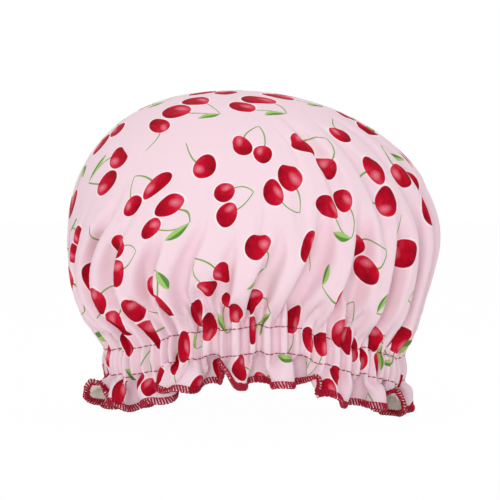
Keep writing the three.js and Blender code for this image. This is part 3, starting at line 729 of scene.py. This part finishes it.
# Braided polyester over rubber: dull white, with slanting ribs 1 mm apart that cross in a herringbone.
# The hollows between the ribs are given a painted shade, darker than the white.
ELASTIC_WHITE, ELASTIC_HOLLOW_SHADE = "#F1EEE8", "#CFC9C0"
RIB_STEP, RIB_HEIGHT, RIB_TURN = 1.0, 0.00025, 1.5
braid, tree, shader = new_material("braided_polyester_elastic", {"Roughness": 0.7})
ribs = flat_place(tree, "along_band")
rib_parts = add_node(tree, "ShaderNodeSeparateXYZ", {0: ribs["mm"]})
ribs.update(run=rib_parts.outputs[0], rise=rib_parts.outputs[1])
work_out(tree, ribs, [
    ("zigzag", "PINGPONG", "rise", RIB_TURN),
    ("slant", "ADD", "run", "zigzag"),
    ("turn", "MULTIPLY", "slant", TAU / RIB_STEP),
    ("rib", "SINE", "turn"),
    ("level", "MULTIPLY_ADD", "rib", 0.5, 0.5),
    ("height", "MULTIPLY", "level", RIB_HEIGHT),
    # Painted shade: the colour darkens where the ribs sink.
    ("shade", "MIX", "level", colour(ELASTIC_HOLLOW_SHADE), colour(ELASTIC_WHITE)),
])
show(tree, shader, ribs["shade"], ribs["height"], strength=0.7)
elastic.data.materials.append(braid)
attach(elastic, "root")
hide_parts("elastic_band")

# Waterproof lining. A second circle of thin soft film, cut with the cover and sewn in under it,
# lies close behind the cotton and passes inside the elastic, so that the band runs in a closed channel.
LINING_GAP = 0.0007
LINING_THICKNESS = 0.0003
LINING_SPAN = 2
TUCK_TRIES, TUCK_LEAST = 4, 0.9 * LINING_GAP
BEHIND_ELASTIC, CHANNEL_CORNER = 0.0030, 0.22
cover_out = outward(cover_grid)
cover_walls = BVHTree.FromPolygons(cover_grid.reshape(-1, 3).tolist(), grid_faces(len(rings), points_round))
lining_grid = cover_grid - cover_out * LINING_GAP
belly = slice(int(np.searchsorted(rings, CREASES_FROM)), upper)
reach = np.linalg.norm(lining_grid[belly, :, :2], axis=-1)
least = np.min([np.roll(reach, step, 1) for step in range(-LINING_SPAN, LINING_SPAN + 1)], axis=0)
lining_grid[belly, :, :2] *= (least / reach)[..., None]
for i, j in np.ndindex(*cover_grid.shape[:2]):
    if i in (upper, lower):
        continue
    for _ in range(TUCK_TRIES):
        wall, wall_out = cover_walls.find_nearest(Vector(lining_grid[i, j]))[:2]
        if (Vector(lining_grid[i, j]) - wall).dot(wall_out) < -TUCK_LEAST:
            break
        lining_grid[i, j] = wall - wall_out * LINING_GAP
channel_part = (rings - rings[upper]) / CHANNEL_DEPTH
behind = smooth_step(channel_part, 0, CHANNEL_CORNER) * (1 - smooth_step(channel_part, 1 - CHANNEL_CORNER, 1))
row_angle = stitched_row(points_round)[0]
for i in range(upper + 1, lower):
    inside = band_point(row_angle, -ELASTIC_INSET - BEHIND_ELASTIC, cover_grid[i, :, 2])
    lining_grid[i] = lining_grid[i] * (1 - behind[i]) + inside * behind[i]
lining = gathered_sheet("film_lining", lining_grid, LINING_THICKNESS)

# Soft film, calendered, off-white: a low satin gloss broken by fine crumples about 6 mm across.
# FILM_SHADE is a painted shade for the hollows of the crumples.
FILM_CREAM, FILM_SHADE = "#FBF3E8", "#F1E6D9"
FILM_CRUMPLES_PER_MM, FILM_CRUMPLE_HEIGHT = 0.16, 0.0016
FILM_LEAST_ROUGHNESS, FILM_ROUGHNESS_RANGE = 0.3, 0.2
film, tree, shader = new_material("soft_waterproof_film", {})
wrinkle = flat_place(tree, "flat_cut")
crumple = add_node(tree, "ShaderNodeTexNoise", {"Vector": wrinkle["mm"], "Scale": FILM_CRUMPLES_PER_MM,
                                                "Detail": 4.0, "Distortion": 0.6})
wrinkle["crumple"] = crumple.outputs["Fac"]
work_out(tree, wrinkle, [
    ("height", "MULTIPLY", "crumple", FILM_CRUMPLE_HEIGHT),
    ("roughness", "MULTIPLY_ADD", "crumple", FILM_ROUGHNESS_RANGE, FILM_LEAST_ROUGHNESS),
    # Painted shade: darker where the crumples sink.
    ("shade", "MIX", "crumple", colour(FILM_SHADE), colour(FILM_CREAM)),
])
show(tree, shader, wrinkle["shade"], wrinkle["height"], strength=0.5)
tree.links.new(wrinkle["roughness"], shader.inputs["Roughness"])
lining.data.materials.append(film)
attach(lining, "root")
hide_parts("waterproof_lining")

# Stitch rows. Two rows of lockstitch close the channel above and below the elastic. The needle thread
# shows as dashes on the cover and the bobbin thread on the lining; both follow every pleat.
STITCH_PITCH = 0.0042
STITCH_STEPS = 7
GAP_STEPS = 1
STITCH_END = 0.3
THREAD_DIAMETER, THREAD_SIDES = 0.00078, 6
NEEDLE_LIFT, BOBBIN_LIFT = 0.00015, -0.00045
# THREAD_SHADE is a painted shade for the hollows between the plies.
THREAD_RED, THREAD_SHADE = "#A80F36", "#7C0826"
TWIST_SLANT, TWIST_HEIGHT = (0.7, 0.7, 1.0), 0.0001


def new_tree(name, sockets):
    """A Geometry Nodes tree with its named inputs and one geometry output."""
    tree = bpy.data.node_groups.new(name, "GeometryNodeTree")
    tree.interface.new_socket("Geometry", in_out="INPUT", socket_type="NodeSocketGeometry")
    for socket, kind in sockets:
        tree.interface.new_socket(socket, in_out="INPUT", socket_type=kind)
    tree.interface.new_socket("Geometry", in_out="OUTPUT", socket_type="NodeSocketGeometry")
    return tree, add_node(tree, "NodeGroupInput").outputs


def end_tree(tree, given, shape):
    """Ends a tree: what it grew is made real and takes the material that the tree is given."""
    real = add_node(tree, "GeometryNodeRealizeInstances", {"Geometry": shape})
    painted = add_node(tree, "GeometryNodeSetMaterial", {"Geometry": real.outputs[0],
                                                         "Material": given["Material"]})
    add_node(tree, "NodeGroupOutput", {"Geometry": painted.outputs[0]})


def grown(piece, tree, values):
    """Runs the tree on the piece with these inputs and keeps the result as a plain, smooth mesh."""
    modifier = piece.modifiers.new("made", "NODES")
    modifier.node_group = tree
    for item in tree.interface.items_tree:
        if item.in_out == "INPUT" and item.name in values:
            modifier[item.identifier] = values[item.name]
    made = piece.evaluated_get(bpy.context.evaluated_depsgraph_get())
    mesh = bpy.data.meshes.new_from_object(made)
    mesh.name = piece.name
    mesh.shade_smooth()
    piece.modifiers.remove(modifier)
    piece.data = mesh


stitching, given = new_tree("stitch_row", [
    ("Stitch Pitch", "NodeSocketFloat"), ("Thread Diameter", "NodeSocketFloat"),
    ("Material", "NodeSocketMaterial")])
seam = {"pitch": given["Stitch Pitch"], "diameter": given["Thread Diameter"],
        "index": add_node(stitching, "GeometryNodeInputIndex").outputs[0],
        "along": add_node(stitching, "GeometryNodeSplineParameter").outputs["Factor"]}
work_out(stitching, seam, [
    ("step", "DIVIDE", "pitch", STITCH_STEPS),
    ("place", "MODULO", "index", STITCH_STEPS),
    ("gap", "GREATER_THAN", "place", STITCH_STEPS - GAP_STEPS - 0.5),
    ("left", "SUBTRACT", 1.0, "along"),
    ("bow", "MULTIPLY", "along", "left"),
    ("plump", "MULTIPLY", "bow", 4.0),
    ("round", "SQRT", "plump"),
    ("taper", "MULTIPLY_ADD", "round", 1 - STITCH_END, STITCH_END),
    ("radius", "MULTIPLY", "diameter", 0.5),
])
path = add_node(stitching, "GeometryNodeMeshToCurve", {"Mesh": given["Geometry"]})
even = add_node(stitching, "GeometryNodeResampleCurve",
                {"Curve": path.outputs[0], "Length": seam["step"]}, mode="LENGTH")
chain = add_node(stitching, "GeometryNodeCurveToMesh", {"Curve": even.outputs[0]})
dashes = add_node(stitching, "GeometryNodeDeleteGeometry",
                  {"Geometry": chain.outputs[0], "Selection": seam["gap"]}, domain="EDGE", mode="EDGE_FACE")
lines = add_node(stitching, "GeometryNodeMeshToCurve", {"Mesh": dashes.outputs[0]})
section = add_node(stitching, "GeometryNodeCurvePrimitiveCircle",
                   {"Resolution": THREAD_SIDES, "Radius": seam["radius"]})
thread = add_node(stitching, "GeometryNodeCurveToMesh", {
    "Curve": lines.outputs[0], "Profile Curve": section.outputs[0],
    "Scale": seam["taper"], "Fill Caps": True})
end_tree(stitching, given, thread.outputs[0])


def thread_material(name, bright, shade, twist_step):
    """Spun polyester thread, two plies twisted: a faint sheen, and painted shade between the plies."""
    material, tree, shader = new_material(name, {
        "Roughness": 0.5, "Specular IOR Level": 0.15, "Sheen Weight": 0.05})
    ply = {"position": add_node(tree, "ShaderNodeTexCoord").outputs["Object"]}
    work_out(tree, ply, [
        ("mm", "V MULTIPLY", "position", (1000, 1000, 1000)),
        ("slant", "V DOT_PRODUCT", "mm", TWIST_SLANT),
        ("turn", "MULTIPLY", "slant", TAU / twist_step),
        ("twist", "SINE", "turn"),
        ("level", "MULTIPLY_ADD", "twist", 0.5, 0.5),
        ("height", "MULTIPLY", "level", TWIST_HEIGHT),
        # Painted shade: the colour darkens where the twist's hollows sink.
        ("shade", "MIX", "level", colour(shade), colour(bright)),
    ])
    show(tree, shader, ply["shade"], ply["height"], strength=0.5)
    return material


def sewn(name, points, pitch, diameter, material):
    """Stitches of one thread along a closed ring of points."""
    count = len(points)
    row = new_piece(name, points, [], [(i, (i + 1) % count) for i in range(count)])
    grown(row, stitching, {"Stitch Pitch": pitch, "Thread Diameter": diameter, "Material": material})
    return row


stitch_thread = thread_material("twisted_sewing_thread", THREAD_RED, THREAD_SHADE, twist_step=0.9)
lining_out = outward(lining_grid)
for name, node, ring, grid, out, lift in (
        ("upper_needle_stitches", "upper_needle_thread", upper, cover_grid, cover_out, NEEDLE_LIFT),
        ("upper_bobbin_stitches", "upper_bobbin_thread", upper, lining_grid, lining_out, BOBBIN_LIFT),
        ("lower_needle_stitches", "lower_needle_thread", lower, cover_grid, cover_out, NEEDLE_LIFT),
        ("lower_bobbin_stitches", "lower_bobbin_thread", lower, lining_grid, lining_out, BOBBIN_LIFT)):
    row = sewn(name, grid[ring] + out[ring] * lift, STITCH_PITCH, THREAD_DIAMETER, stitch_thread)
    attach(row, "root")
    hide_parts(node)

# Elastic tack. A short zigzag of the same thread, run through the two lapped ends of the elastic
# at the nape so that the band closes to a ring.
TACK_HALF_LENGTH = 0.05
TACK_HALF_HEIGHT = 0.0035
TACK_POINTS, TACK_PITCH = 9, 0.0077
TACK_OUTER, TACK_INNER = 0.0006, -0.0018
tack_turns = np.linspace(-TACK_HALF_LENGTH, TACK_HALF_LENGTH, TACK_POINTS)
tack_path = []
for face, order in ((TACK_OUTER, 1), (TACK_INNER, -1)):
    for k in range(TACK_POINTS)[::order]:
        theta = np.array(math.pi / 2 + tack_turns[k])
        height = band_z + arch(theta) - CHANNEL_DEPTH / 2 + TACK_HALF_HEIGHT * (1 if k % 2 else -1)
        tack_path.append(band_point(theta, face - ELASTIC_INSET, height))
tack = sewn("elastic_tack", np.array(tack_path), TACK_PITCH, THREAD_DIAMETER, stitch_thread)
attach(tack, "root")
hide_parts("elastic_join_tack")

# Overlocked edge. The frill's raw edge is trimmed and wrapped by a dense overlock: slanting loops of dark
# red thread over both faces, locked along the edge and held by a needle line; pale cloth shows in specks
# between the loops.
LOOP_PITCH = 0.0021
LOOP_HALF_REACH = 0.0022
LOOP_HALF_THICKNESS = 0.0010
LOOP_POINTS, LOOP_THREAD, LOOP_THREAD_SIDES = 12, 0.0014, 5
LOOP_SLANT = 0.42
LOOP_INSET, LOOP_SINK = 0.0020, 0.0005
LOOP_WOBBLE = (0.04, 0.14, 0.06)
LOOP_SEED = 11
LINE_PITCH, LINE_THREAD = 0.0030, 0.0008
# OVERLOCK_SHADE is a painted shade for the hollows between the plies.
OVERLOCK_RED, OVERLOCK_SHADE = "#C4163C", "#960C2A"
overlock_thread = thread_material("textured_overlock_thread", OVERLOCK_RED, OVERLOCK_SHADE, twist_step=0.8)

edge, edge_out = cover_grid[-1], cover_out[-1]
edge_into = cover_grid[-3] - cover_grid[-1]
edge_into /= np.linalg.norm(edge_into, axis=1, keepdims=True)
edge_run = np.concatenate([[0], np.cumsum(np.linalg.norm(np.roll(edge, -1, 0) - edge, axis=1))])
loop_count = round(edge_run[-1] / LOOP_PITCH)
loop_run = np.arange(loop_count) / loop_count * edge_run[-1]


def along_edge(values):
    """Values at the frill's edge points, read at each loop."""
    closed = np.concatenate([values, values[:1]])
    return np.stack([np.interp(loop_run, edge_run, closed[:, axis]) for axis in range(3)], -1)


loop_into, loop_out = along_edge(edge_into), along_edge(edge_out)
loop_along = along_edge(np.roll(edge, -1, 0) - np.roll(edge, 1, 0))
loop_points = along_edge(edge) + loop_into * LOOP_INSET - loop_out * LOOP_SINK
overlock = new_piece("overlock_loops", loop_points, [])
for name, values in (("loop_along", loop_along), ("loop_into", loop_into)):
    values = values / np.linalg.norm(values, axis=1, keepdims=True)
    overlock.data.attributes.new(name, "FLOAT_VECTOR", "POINT").data.foreach_set("vector", values.ravel())

looping, given = new_tree("overlock_loops", [
    ("Half Reach", "NodeSocketFloat"), ("Half Thickness", "NodeSocketFloat"),
    ("Thread Diameter", "NodeSocketFloat"), ("Slant", "NodeSocketFloat"),
    ("Seed", "NodeSocketInt"), ("Material", "NodeSocketMaterial")])
loop = {"diameter": given["Thread Diameter"]}
work_out(looping, loop, [("radius", "MULTIPLY", "diameter", 0.5)])
oval = add_node(looping, "GeometryNodeCurvePrimitiveCircle", {"Resolution": LOOP_POINTS, "Radius": 1.0})
oval_size = add_node(looping, "ShaderNodeCombineXYZ",
                     {0: given["Half Reach"], 1: given["Half Thickness"], 2: 1.0})
slant_turn = add_node(looping, "ShaderNodeCombineXYZ", {1: given["Slant"]})
sized = add_node(looping, "GeometryNodeTransform",
                 {"Geometry": oval.outputs[0], "Scale": oval_size.outputs[0]})
slanted = add_node(looping, "GeometryNodeTransform",
                   {"Geometry": sized.outputs[0], "Rotation": slant_turn.outputs[0]})
section = add_node(looping, "GeometryNodeCurvePrimitiveCircle",
                   {"Resolution": LOOP_THREAD_SIDES, "Radius": loop["radius"]})
one_loop = add_node(looping, "GeometryNodeCurveToMesh",
                    {"Curve": slanted.outputs[0], "Profile Curve": section.outputs[0]})
axes = {}
for i, name in enumerate(("loop_along", "loop_into")):
    axis = add_node(looping, "GeometryNodeInputNamedAttribute", {"Name": name}, data_type="FLOAT_VECTOR")
    axes[i] = axis.outputs[0]
facing = add_node(looping, "FunctionNodeAxesToRotation", axes, primary_axis="Z", secondary_axis="X")
wobble = add_node(looping, "FunctionNodeRandomValue",
                  {0: tuple(-most for most in LOOP_WOBBLE), 1: LOOP_WOBBLE, "Seed": given["Seed"]},
                  data_type="FLOAT_VECTOR")
wobble_turn = add_node(looping, "FunctionNodeEulerToRotation", {0: wobble.outputs[0]})
turned_loop = add_node(looping, "FunctionNodeRotateRotation",
                       {0: facing.outputs[0], 1: wobble_turn.outputs[0]}, rotation_space="LOCAL")
loops = add_node(looping, "GeometryNodeInstanceOnPoints", {
    "Points": given["Geometry"], "Instance": one_loop.outputs[0], "Rotation": turned_loop.outputs[0]})
end_tree(looping, given, loops.outputs[0])
grown(overlock, looping, {
    "Half Reach": LOOP_HALF_REACH, "Half Thickness": LOOP_HALF_THICKNESS, "Thread Diameter": LOOP_THREAD,
    "Slant": LOOP_SLANT, "Seed": LOOP_SEED, "Material": overlock_thread})
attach(overlock, "root")
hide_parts("overlock_edge")

for name, inward, lift in (("overlock_needle_line", 0.0040, 0.0003),
                           ("overlock_edge_chain", -0.0004, -0.0004)):
    line = sewn(name, edge + edge_into * inward + edge_out * lift, LINE_PITCH, LINE_THREAD, overlock_thread)
    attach(line, "root")

# Studio. A wide white floor that shows plain white, an even white surround, and four lamps:
# above, at the left, at the right and low in front. Each lamp has its place, its watts and its size.
FLOOR_SIZE = 8.0
FLOOR_WHITE, FLOOR_GLOW = "#F5F4F3", 0.985
SURROUND_LIGHT = 0.49
CAP_MIDDLE = Vector((-0.0030, 0, 0.117))
LAMPS = (("left_lamp", (-1.3, -0.5, 0.8), 3.2, 0.35), ("right_lamp", (1.3, -0.5, 0.5), 2.8, 0.35),
         ("top_lamp", (0, 0.1, 1.5), 5.5, 0.6), ("front_lamp", (-0.1, -1.0, 0.06), 3.8, 0.35))


def seen_or_not(tree):
    """1 for rays that show the studio to the eye, also in a gloss, and 0 for those that light the cap."""
    ray = add_node(tree, "ShaderNodeLightPath").outputs
    got = {"camera": ray["Is Camera Ray"], "glossy": ray["Is Glossy Ray"],
           "through": ray["Is Transmission Ray"]}
    work_out(tree, got, [("shiny", "MAXIMUM", "camera", "glossy"), ("seen", "MAXIMUM", "shiny", "through")])
    return got


floor_corners = [(x * FLOOR_SIZE, y * FLOOR_SIZE, 0) for x, y in ((-1, -1), (1, -1), (1, 1), (-1, 1))]
floor = new_piece("studio_floor", floor_corners, [(0, 1, 2, 3)])
paper, tree, shader = new_material("white_floor_paper", {"Base Color": colour(FLOOR_WHITE), "Roughness": 0.9})
sight = seen_or_not(tree)
work_out(tree, sight, [("share", "MULTIPLY", "seen", FLOOR_GLOW)])
glow = add_node(tree, "ShaderNodeEmission", {"Color": (1, 1, 1, 1), "Strength": 1.0})
blend = add_node(tree, "ShaderNodeMixShader", {0: sight["share"], 1: shader.outputs[0], 2: glow.outputs[0]})
tree.links.new(blend.outputs[0], tree.nodes["Material Output"].inputs["Surface"])
floor.data.materials.append(paper)

world = bpy.data.worlds.new("white_surround")
bpy.context.scene.world = world
world.use_nodes = True
tree = world.node_tree
sight = seen_or_not(tree)
work_out(tree, sight, [("strength", "MULTIPLY_ADD", "seen", 1 - SURROUND_LIGHT, SURROUND_LIGHT)])
tree.links.new(sight["strength"], tree.nodes["Background"].inputs["Strength"])
tree.nodes["Background"].inputs["Color"].default_value = (1, 1, 1, 1)

for name, place, energy, size in LAMPS:
    lamp = bpy.data.lights.new(name, "AREA")
    lamp.energy = energy
    lamp.size = size
    lamp_object = bpy.data.objects.new(name, lamp)
    lamp_object.location = place
    lamp_object.rotation_euler = (CAP_MIDDLE - lamp_object.location).to_track_quat("-Z", "Y").to_euler()
    bpy.context.scene.collection.objects.link(lamp_object)

CAMERA_DISTANCE = 1.2
CAMERA_RISE = math.radians(2)
FRAME_WIDTH = 0.36375
camera = bpy.data.objects.new("camera", bpy.data.cameras.new("camera"))
camera.data.lens = camera.data.sensor_width * CAMERA_DISTANCE / FRAME_WIDTH
camera.location = CAP_MIDDLE + Vector((0, -math.cos(CAMERA_RISE), math.sin(CAMERA_RISE))) * CAMERA_DISTANCE
camera.rotation_euler = (CAP_MIDDLE - camera.location).to_track_quat("-Z", "Y").to_euler()
bpy.context.scene.collection.objects.link(camera)
bpy.context.scene.camera = camera
bpy.context.scene.view_settings.view_transform = "Standard"
